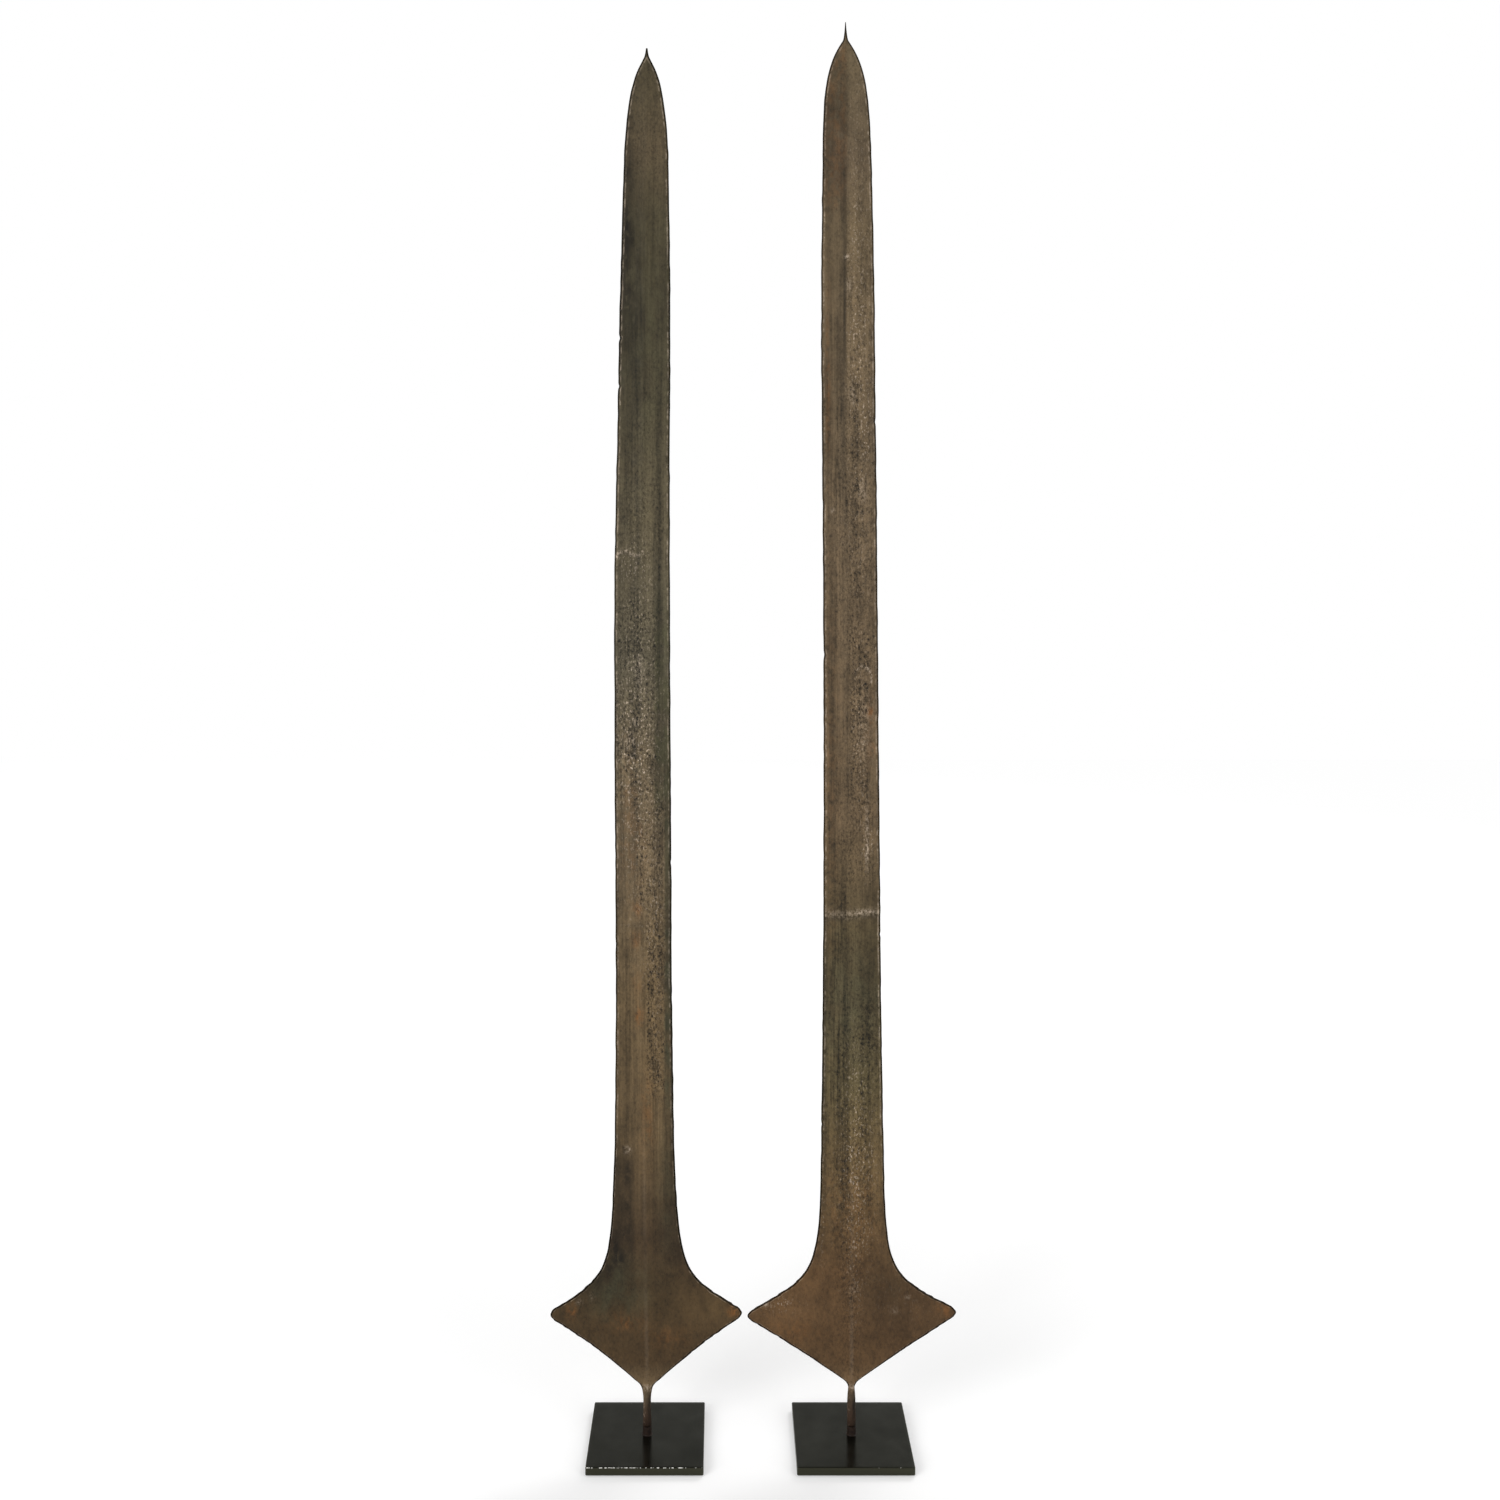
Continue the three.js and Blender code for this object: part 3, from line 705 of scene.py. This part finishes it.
def uneven_edge(side, way, height, stretch, at):
    """How far one edge stands outside its line in mm: a wander of two lengths, which dies out at tang, ears
    and nib, less the chips around the ears, less the nicks."""
    seed = 10 * len(side) + (5 if way > 0 else 0)
    from_ear = np.abs(height - at["ear"])
    above_tang = smooth((height - at["fillet"]) / 30) * stretch
    free = above_tang * smooth(from_ear / 14 - 0.5) * smooth((at["nib"] - height) / 40)
    chipped = above_tang * smooth(from_ear / 4) * smooth(1.5 - from_ear / 45)
    zero = np.zeros_like(height)
    short, long = (uneven(zero, height, 1, cell, seed + i) for i, cell in enumerate(WANDER_CELLS))
    chips = EAR_CHIPS * (1 + uneven(zero, height, 1, CHIP_CELL, seed + 2))
    out = free * EDGE_WANDER * (short + long) - chipped * chips
    for edge, at_height, reach, depth in NICKS[side]:
        if edge == way:
            out = out - depth * hump(height - at_height, reach)
    return out


ROUND_COLUMNS = 5
INNER_COLUMNS = 19
CREST_SOFTNESS = 0.1
RIB_POWER = 1.25


def half_section(reach, bevel, rounding, thickness):
    """Distances in from the edge to the crest, and half the thickness at each, in mm, at every row.

    Thickness climbs from edge to land over the bevel, eases to the web, and rises to the rib by the peak: 1
    less the root of q squared plus a softness squared, as a share of its most, to a power, where q is the
    distance from the crest in half widths of the rib. Within r of the edge it is rounded over, by the root
    of 1 - (1 - d / r) squared."""
    rib, web, land, edge = thickness
    inner = np.linspace(0, 1, INNER_COLUMNS + 1)[1:]
    d = np.concatenate([
        rounding * (1 - np.cos(np.linspace(0, np.pi / 2, ROUND_COLUMNS))),
        rounding + (bevel - rounding) * np.array([0.5, 1]),
        bevel + (reach - bevel) * inner,
    ], axis=1)
    rib_half = np.minimum(RIB_HALF_WIDTH, (reach - bevel) / 2)
    climb = np.clip(d / bevel, 0, 1)
    ease = smooth((d - bevel) / np.maximum(reach - bevel - rib_half, 1))
    q = (reach - d) / rib_half
    peak = (1 - np.sqrt(q**2 + CREST_SOFTNESS**2)) / (1 - CREST_SOFTNESS)
    peak = np.clip(peak, 0, 1) ** RIB_POWER
    section = edge + (land - edge) * climb + (web - land) * ease + (rib - web) * peak
    over = np.sqrt(1 - (1 - np.clip(d / rounding, 0, 1)) ** 2)
    return d, section / 2 * over


def all_round(front, back):
    """Each row's front from left to right, then its back from right to left without the two edge points."""
    return np.concatenate([front, back[:, -2:0:-1]], axis=1)


TANG_ROUNDING = 3
WARP = 0.9
WARP_CELL = (400, 190)
PATCH_CELL = (7, 16)
BACK_MARKS_DOWN = 25
BACK_DENTS_DOWN = 60
CLEAR_OF_MASKS = 10
SHAFT_RIM_LESS = 0.4
EAR_RIM = 2.1


def blade_skin(side, blade):
    """The blade's rings of points in mm from the middle of its plate's top, and its marks at each point.

    A ring is one row of the outline, which climbs a little across the ears. Half of the thickness stands
    before and half behind a middle plane that bows sideways and sways. The relief and the marks of each
    face are added, and fade out at the edge and on the tang. Each random field has its own seed, and the
    length of the side's name sets the two blades apart."""
    at = landmarks(blade)
    height, half, stretch, in_foot = rows_up(blade, at)
    thickness = [np.where(in_foot, FOOT_SIDE, line) for line in thicknesses(height, at)]
    share = np.clip((height - at["neck"]) / (at["point"] - at["neck"]), 0, 1)
    evenly = np.linspace(0, 1, LINE_STEPS)
    bow, crest = (np.interp(share, evenly, spline(blade[line], LINE_STEPS)) for line in ("bow", "crest"))
    crest = np.clip(crest, -half / 4, half / 4)
    lean = 2 * blade["ear_tilt"] * half / blade["ear_span"] ** 2 * (height > at["neck"])
    bevel = np.minimum(EDGE_BEVEL * stretch, half / 4)
    round_tang = TANG_ROUNDING * smooth((at["neck"] - height) / 6) * ~in_foot
    rounding = np.maximum(np.minimum(0.6 * thickness[-1] * stretch, 0.8 * bevel), round_tang)
    bevel = np.maximum(bevel, 1.2 * round_tang)
    halves = []
    for way in (-1, 1):
        own_half = half + uneven_edge(side, way, height, stretch, at)
        d, half_thick = half_section(own_half - way * crest, bevel, rounding, thickness)
        halves.append((way * (own_half - d), d / stretch, half_thick))
    x, d, y = (np.concatenate([left, right[:, -2::-1]], axis=1) for left, right in zip(*halves))

    z = height + lean * x
    x = x + bow
    proud, lip, shadow = FRONT_MARKS[side](x, z)
    fade = smooth(d / 4) * smooth((height - at["neck"]) / 20)
    front = y + fade * (relief(side, x, z, 11 + len(side)) + proud)
    back = y + fade * relief(side, -x, z + BACK_DENTS_DOWN, 31 + len(side))
    sway = WARP * uneven(x, z, *WARP_CELL, 51 + len(side)) * smooth((height - at["ear"]) / 200)
    points = np.stack([all_round(x, x), all_round(sway - front, sway + back), all_round(z, z)], axis=-1)

    # The tang has no painted dark rim and no painted bevel highlight. The shaft's painted rim is narrower
    # than that of flare and ears, which have no painted bevel highlight.
    flared = smooth((at["waist"] + 20 - height) / 60)
    clear = d + CLEAR_OF_MASKS * smooth((at["neck"] + 4 - height) / 10)
    clear = clear + SHAFT_RIM_LESS * (1 - flared) + 3 * flared * smooth((d - EAR_RIM) / 1.2)
    off_crest = np.abs(x - (bow + crest))
    marks = {"edge_cm": all_round(clear, clear) / 10, "crest_cm": all_round(off_crest, off_crest) / 10}
    # The front marks' painted highlight and painted shadow join the pale and dark marks.
    drawn = {"pale": lip, "dark": shadow}
    for i, kind in enumerate(BLOTCHES[side]):
        patchy = 1 + 0.45 * uneven(x, z, *PATCH_CELL, 61 + i)
        near = marked(side, kind, x, z) * patchy + drawn.get(kind, 0)
        far = marked(side, kind, -x, z + BACK_MARKS_DOWN) * patchy
        marks[kind] = all_round(near, far)
    return points, marks


# Forged iron under a century of handling: a dull brown-black oxide, browner where it is oiled by hands,
# greyer where it is rubbed, pitted, with pale specks painted as glints where the pits catch the light, and
# rusty in a few spots. Painted shade darkens edges and crest, and a painted highlight runs along the bevel.
LOW_TONE = 10
HIGH_TONE = 1690
# The oxide's colour by height in mm above the plate.
TONES = {
    "left": [
        (10, "#2e1f17"), (28, "#3d2f24"), (48, "#4c4031"), (62, "#64533c"), (90, "#453522"),
        (160, "#40321f"), (240, "#392c1d"), (380, "#52432e"), (540, "#5c4c35"), (700, "#594c39"),
        (940, "#494335"), (1110, "#4d4534"), (1350, "#373123"), (1490, "#3e3727"), (1575, "#4a3f2e"),
        (1690, "#3f3828"),
    ],
    "right": [
        (10, "#33241a"), (28, "#413126"), (48, "#4a3c2d"), (62, "#6a543b"), (90, "#4f3b26"),
        (200, "#503b25"), (290, "#57462e"), (430, "#4c422c"), (520, "#433a28"), (620, "#463b28"),
        (760, "#564734"), (1100, "#564836"), (1480, "#564936"), (1570, "#504434"), (1690, "#564a37"),
    ],
}
OLIVE = "#3d3a29"
RUST = "#694524"
PALE = "#a39483"
SCALE_AND_SHADE_BLACK = "#120f0b"
IRON_MIRROR = "#fffcf3"
# Each noise: its reach across and along the bar in mm, its detail and its roughness. Real specks and grit
# are about half as large: these are as coarse as they need to be to show.
NOISES = {
    "streaks": (2.8, 90, 4, 0.6),
    "bands": (15, 420, 3, 0.5),
    "mottle": (24, 30, 6, 0.6),
    "clouds": (6, 9, 5, 0.65),
    "specks": (2.7, 4, 3, 0.75),
    "grit": (2.0, 3.4, 2, 0.6),
}
# Each mask: the field that it reads, and pairs of that field's value and the mask's level there. The
# fields ending in cm are distances from the edge and from the crest in cm.
MASKS = {
    "shaft": ("rise", [(0.1, 0.0), (0.22, 1.0), (0.78, 1.0), (0.88, 0.6), (0.95, 0.35)]),
    "pitted": ("pitting", [(0, 0.22), (1, 1.0)]),
    "crest": ("crest_cm", [(0.06, 1.0), (0.34, 0.0)]),
    # A painted black line for the shade of the edges that turn away from the light.
    "rim": ("edge_cm", [(0.16, 0.86), (0.28, 0.0)]),
    # A painted pale line just inside it for the highlight that the bevel catches.
    "bevel_highlight": ("edge_cm", [(0.24, 0.0), (0.31, 0.42), (0.36, 0.42), (0.47, 0.0)]),
}
# The shading that multiplies the colour is 1, plus the patches of rubbing and of painted light, plus each
# of these noises less a half, times its mask and its amount.
SHADING = [
    ("streaks", "striated", 2.2), ("streaks", "shaft", 1.2), ("bands", "shaft", 2.4), ("mottle", None, 1.3),
    ("clouds", None, 0.9), ("specks", "pitted", 5.2),
]
WORN_AND_LIT_BRIGHTER = 0.5
DARKEST_SHADE = 0.15
# What lies over the tone: where it lies, the noise that breaks it up, between which two of its levels,
# how strongly and in what colour.
LAYERS = [
    ("olive", "mottle", 0.3, 0.55, 1.0, OLIVE),
    ("rust", "clouds", 0.38, 0.6, 1.0, RUST),
    # Pale grit painted as glints where pits catch the light.
    ("speckled_glints", "grit", 0.58, 0.68, 0.85, PALE),
    ("pitted", "specks", 0.43, 0.32, 0.85, SCALE_AND_SHADE_BLACK),
    ("pale", "specks", 0.42, 0.58, 1.0, PALE),
    ("crest_worn", "crest", 0.0, 1.0, 0.3, PALE),
    # Painted shade along the crest.
    ("crest_shade", "crest", 0.0, 1.0, 0.55, SCALE_AND_SHADE_BLACK),
    ("dark", "clouds", 0.25, 0.5, 1.0, SCALE_AND_SHADE_BLACK),
    # Painted shade: a black line along the edges that turn away from the light.
    ("rim", "clouds", 0.1, 0.3, 1.0, SCALE_AND_SHADE_BLACK),
    # Painted highlight: a pale line where the bevel catches the light.
    ("bevel_highlight", "clouds", 0.45, 0.6, 1.0, PALE),
]
GLOSS = 0.25
METAL = 0.3
# How much specks, streaks and clouds lift the surface: by a mask, or by the same amount all over.
LIFTS = [("specks", "pitted"), ("streaks", 0.4), ("clouds", 0.35)]
RELIEF_DEPTH = 0.9 * MM


def forged_iron(side, plate_top):
    """The oxide's tone by height, the layers of olive, rust, pale, black scale and painted light and shade
    mixed over it, and all of it times the shading. Specks, streaks and clouds of oxide also lift and sink
    the surface."""
    made, tree, shader = start_material(f"{side}_forged_iron", Specular_Tint=to_linear(IRON_MIRROR))
    place = node(tree, "ShaderNodeTexCoord").outputs["Object"]
    fields = {
        kind: node(tree, "ShaderNodeAttribute", attribute_name=kind).outputs["Fac"]
        for kind in ("edge_cm", "crest_cm", *BLOTCHES[side])
    }
    for name, (across, along, detail, roughness) in NOISES.items():
        scale = (1 / (across * MM), 1 / (across * MM), 1 / (along * MM))
        drawn = node(tree, "ShaderNodeMapping", {"Vector": place, "Scale": scale}).outputs["Vector"]
        noise = {"Vector": drawn, "Scale": 1, "Detail": detail, "Roughness": roughness}
        fields[name] = node(tree, "ShaderNodeTexNoise", noise).outputs["Fac"]
    height = node(tree, "ShaderNodeSeparateXYZ", {"Vector": place}).outputs["Z"]
    lowest, highest = plate_top + LOW_TONE * MM, plate_top + HIGH_TONE * MM
    rise = {"Value": height, "From Min": lowest, "From Max": highest}
    fields["rise"] = node(tree, "ShaderNodeMapRange", rise).outputs["Result"]
    for name, (field, stops) in MASKS.items():
        fields[name] = node(tree, "ShaderNodeValToRGB", {"Fac": fields[field]}, stops).outputs["Color"]

    tone_stops = [((at - LOW_TONE) / (HIGH_TONE - LOW_TONE), tone) for at, tone in TONES[side]]
    colour = node(tree, "ShaderNodeValToRGB", {"Fac": fields["rise"]}, tone_stops).outputs["Color"]
    for where, noise, start, end, strength, hue in LAYERS:
        broken = {"Value": fields[noise], "From Min": start, "From Max": end, "To Max": strength}
        broken = node(tree, "ShaderNodeMapRange", broken).outputs["Result"]
        cover = {0: fields[where], 1: broken}
        cover = node(tree, "ShaderNodeMath", cover, operation="MULTIPLY").outputs[0]
        mix = {"Factor": cover, 6: colour, 7: to_linear(hue)}
        colour = node(tree, "ShaderNodeMix", mix, data_type="RGBA").outputs[2]

    shade = {0: fields["worn_and_lit"], 1: WORN_AND_LIT_BRIGHTER, 2: 1.0}
    shade = node(tree, "ShaderNodeMath", shade, operation="MULTIPLY_ADD").outputs[0]
    for noise, mask, amount in SHADING:
        swing = {"Value": fields[noise], "To Min": -amount / 2, "To Max": amount / 2}
        swing = node(tree, "ShaderNodeMapRange", swing).outputs["Result"]
        added = {0: swing, 1: fields[mask] if mask else 1.0, 2: shade}
        shade = node(tree, "ShaderNodeMath", added, operation="MULTIPLY_ADD").outputs[0]
    shade = node(tree, "ShaderNodeMath", {0: shade, 1: DARKEST_SHADE}, operation="MAXIMUM").outputs[0]
    mix = {"Factor": 1.0, 6: colour, 7: shade}
    colour = node(tree, "ShaderNodeMix", mix, data_type="RGBA", blend_type="MULTIPLY").outputs[2]
    tree.links.new(colour, shader.inputs["Base Color"])

    for socket, level in (("Specular IOR Level", GLOSS), ("Metallic", METAL)):
        matt = {"Value": fields["rim"], "To Min": level, "To Max": 0.0}
        matt = node(tree, "ShaderNodeMapRange", matt).outputs["Result"]
        tree.links.new(matt, shader.inputs[socket])
    dull = {"Value": fields["clouds"], "From Min": 0.3, "From Max": 0.7, "To Min": 0.5, "To Max": 0.72}
    dull = node(tree, "ShaderNodeMapRange", dull).outputs["Result"]
    tree.links.new(dull, shader.inputs["Roughness"])
    ground = 0.0
    for noise, amount in LIFTS:
        lifted = {0: fields[noise], 1: fields.get(amount, amount), 2: ground}
        ground = node(tree, "ShaderNodeMath", lifted, operation="MULTIPLY_ADD").outputs[0]
    bump = node(tree, "ShaderNodeBump", {"Height": ground, "Strength": 0.8, "Distance": RELIEF_DEPTH})
    tree.links.new(bump.outputs["Normal"], shader.inputs["Normal"])
    return made


for side, blade in BLADES.items():
    plate_low, plate_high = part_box(f"{side}_plate")
    middle = (plate_low + plate_high) / 2
    points, marks = blade_skin(side, blade)
    rings = points * MM + np.array([middle.x, middle.y, plate_high.z])
    spear = closed_skin(f"{side}_spear_blade", rings, forged_iron(side, plate_high.z))
    for kind, field in marks.items():
        ends = [field[0].mean(), field[-1].mean()]
        layer = spear.data.attributes.new(kind, "FLOAT", "POINT")
        layer.data.foreach_set("value", np.append(field.ravel(), ends).astype(np.float32))
    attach(spear, f"{side}_spear")
    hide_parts(f"{side}_blade")

# Studio
# A white floor that keeps a soft shadow and glows a little more further out, where the lamps reach less, a
# white surround that darkens overhead, and soft lamps from the left, the right and behind. The camera
# stands level, a little above the middle of the blades.
FLOOR_HALF = 6
FLOOR_PALE = "#e7e7e7"
WHITE = "#ffffff"
NEAR = 0.3
FAR = 4
GLOW_NEAR = 0.27
GLOW_FAR = 0.58
MIRRORED_GLOW = 0.25
SURROUND = 0.5
OVERHEAD = 0.24
DARKENS_FROM = 0.37
DARKENS_TO = 0.46

floor_white, tree, shader = start_material("floor_white", Roughness=1.0, Specular_IOR_Level=0.0)
shader.inputs["Base Color"].default_value = to_linear(FLOOR_PALE)
shader.inputs["Emission Color"].default_value = to_linear(WHITE)
path = node(tree, "ShaderNodeLightPath")
place = node(tree, "ShaderNodeTexCoord").outputs["Object"]
away = node(tree, "ShaderNodeVectorMath", {0: place}, operation="LENGTH").outputs["Value"]
glow = {"Value": away, "From Min": NEAR, "From Max": FAR, "To Min": GLOW_NEAR, "To Max": GLOW_FAR}
glow = node(tree, "ShaderNodeMapRange", glow).outputs["Result"]
seen = {0: path.outputs["Is Camera Ray"], 1: path.outputs["Is Transmission Ray"]}
seen = node(tree, "ShaderNodeMath", seen, operation="MAXIMUM").outputs[0]
lift = {0: seen, 1: glow}
lift = node(tree, "ShaderNodeMath", lift, operation="MULTIPLY").outputs[0]
mirrored = {0: path.outputs["Is Glossy Ray"], 1: MIRRORED_GLOW}
mirrored = node(tree, "ShaderNodeMath", mirrored, operation="MULTIPLY").outputs[0]
lift = node(tree, "ShaderNodeMath", {0: lift, 1: mirrored}, operation="MAXIMUM").outputs[0]
tree.links.new(lift, shader.inputs["Emission Strength"])
floor_mesh = bpy.data.meshes.new("studio_floor")
corner_signs = np.array([(-1, -1, 0), (1, -1, 0), (1, 1, 0), (-1, 1, 0)])
floor_mesh.from_pydata(corner_signs * FLOOR_HALF, [], [(0, 1, 2, 3)])
floor_mesh.materials.append(floor_white)
floor = bpy.data.objects.new("studio_floor", floor_mesh)
bpy.context.scene.collection.objects.link(floor)

world = bpy.data.worlds.new("studio")
world.use_nodes = True
tree = world.node_tree
bpy.context.scene.world = world
path = node(tree, "ShaderNodeLightPath")
direction = node(tree, "ShaderNodeTexCoord").outputs["Generated"]
upward = node(tree, "ShaderNodeSeparateXYZ", {"Vector": direction}).outputs["Z"]
darkening = {
    "Value": upward, "From Min": DARKENS_FROM, "From Max": DARKENS_TO, "To Min": 1.0, "To Max": OVERHEAD,
}
overhead = node(tree, "ShaderNodeMapRange", darkening).outputs["Result"]
mirrored = {0: path.outputs["Is Glossy Ray"], 1: path.outputs["Is Transmission Ray"]}
mirrored = node(tree, "ShaderNodeMath", mirrored, operation="MAXIMUM").outputs[0]
level = node(tree, "ShaderNodeMix", {0: mirrored, 2: SURROUND, 3: overhead}).outputs[0]
level = node(tree, "ShaderNodeMix", {0: path.outputs["Is Camera Ray"], 2: level, 3: 1.0}).outputs[0]
tree.links.new(level, tree.nodes["Background"].inputs["Strength"])
tree.nodes["Background"].inputs["Color"].default_value = to_linear(WHITE)

AIM = (0.0, 0.0, 0.85)
# Each lamp: its place in metres, its side in metres and its power in watts.
LAMPS = {
    "key": ((-2.2, -2.6, 1.7), 1.8, 75),
    "fill": ((2.4, -2.2, 1.2), 1.6, 28),
    "behind": ((1.6, 2.4, 3.0), 1.6, 45),
}
for name, (spot, size, power) in LAMPS.items():
    lamp = bpy.data.lights.new(name, "AREA")
    lamp.shape = "SQUARE"
    lamp.size = size
    lamp.energy = power
    holder = bpy.data.objects.new(name, lamp)
    holder.location = spot
    aim = [goal - start for goal, start in zip(AIM, spot)]
    across = math.hypot(aim[0], aim[1])
    holder.rotation_euler = (math.atan2(across, -aim[2]), 0, math.atan2(aim[1], aim[0]) - math.pi / 2)
    bpy.context.scene.collection.objects.link(holder)

# The plates' outlines in perspective give the camera's place. It looks level, with the frame shifted down.
CAMERA_PLACE = (-0.0384, -1.890, 1.101)
lens = bpy.data.cameras.new("photo_view")
lens.lens = 37.0
lens.sensor_width = 36.0
lens.shift_x = 0.0187
lens.shift_y = -0.137
camera = bpy.data.objects.new("photo_view", lens)
camera.location = CAMERA_PLACE
camera.rotation_euler = (math.pi / 2, 0, 0)
bpy.context.scene.collection.objects.link(camera)
bpy.context.scene.camera = camera
bpy.context.scene.view_settings.view_transform = "Standard"
